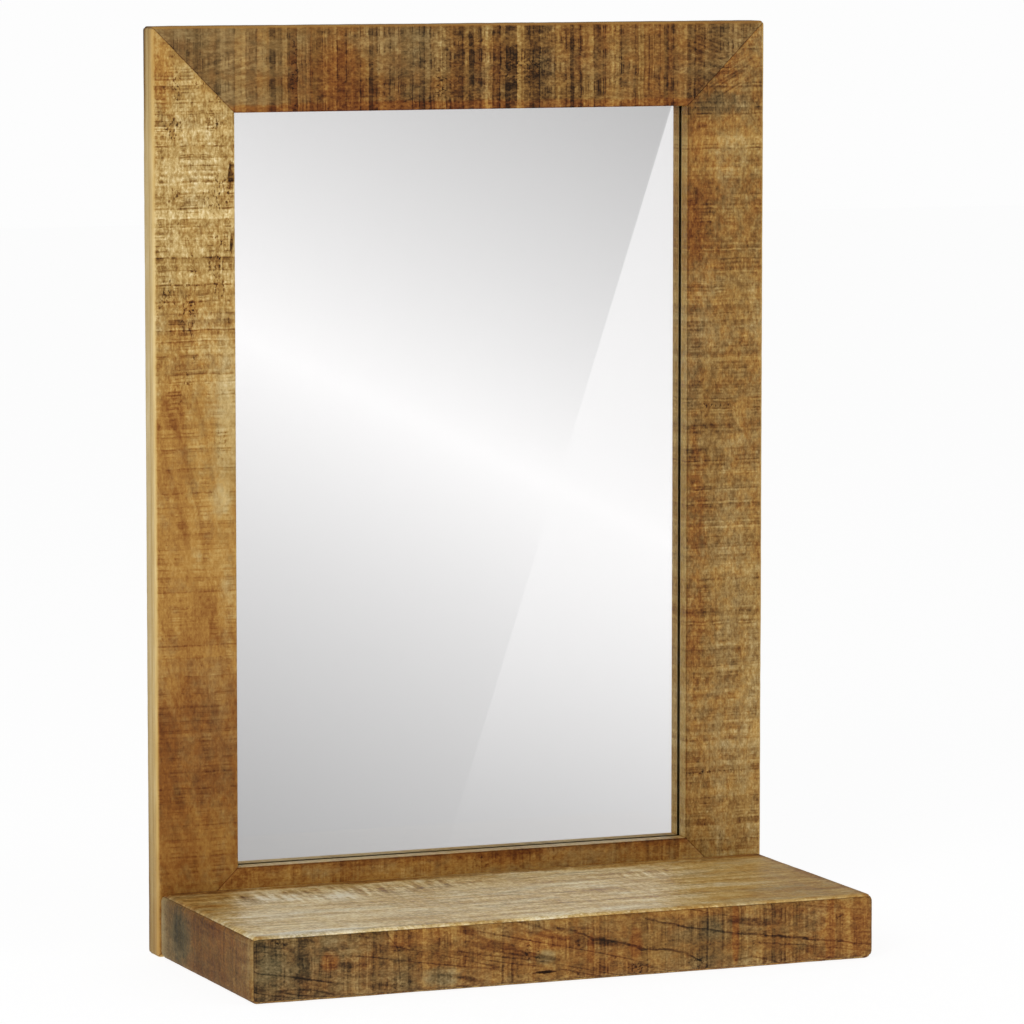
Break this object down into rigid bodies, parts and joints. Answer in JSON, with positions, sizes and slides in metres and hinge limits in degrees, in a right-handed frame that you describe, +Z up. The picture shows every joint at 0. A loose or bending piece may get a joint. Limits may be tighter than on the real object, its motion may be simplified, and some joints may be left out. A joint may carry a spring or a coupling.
{
  "type": "mirror with shelf",
  "caption": "Rectangular wall mirror in a broad mitred timber frame, with a deep box shelf along its foot and keyhole hangers let into the back.",
  "frame": {"origin": "on the wall plane, midway between the entry holes of the two keyhole plates", "axes": "+Z up, +Y out of the back towards the wall, +X to the right of someone who looks into the mirror"},
  "size_m": [0.5, 0.23, 0.7],
  "materials": {
    "frame_wood": "rough-sawn hardwood under satin lacquer",
    "shelf_wood": "rough-sawn hardwood under satin lacquer",
    "inner_wood": "planed, bare",
    "beech": "pressed or turned, bare",
    "float_glass": "clear, polished",
    "silver_film": "silver mirror, painted behind",
    "hardboard": "smooth pressed fibreboard",
    "zinc_steel": "bright zinc plate"
  },
  "bodies": {
    "root": {"top_rail": "frame_wood", "bottom_rail": "frame_wood", "left_stile": "frame_wood", "right_stile": "frame_wood", "biscuit_top_left": "beech", "biscuit_top_right": "beech", "biscuit_bottom_left": "beech", "biscuit_bottom_right": "beech", "mirror_glass": "float_glass", "mirror_silvering": "silver_film", "backing_board": "hardboard", "glazing_points": "zinc_steel", "shelf_top_board": "shelf_wood", "shelf_bottom_board": "shelf_wood", "shelf_front_board": "shelf_wood", "shelf_left_end": "shelf_wood", "shelf_right_end": "shelf_wood", "shelf_back_batten": "inner_wood", "shelf_rib_left": "inner_wood", "shelf_rib_right": "inner_wood", "shelf_screws": "zinc_steel", "shelf_dowels": "beech", "hanger_plate_left": "zinc_steel", "hanger_plate_right": "zinc_steel", "hanger_screws": "zinc_steel"}
  },
  "joints": []
}
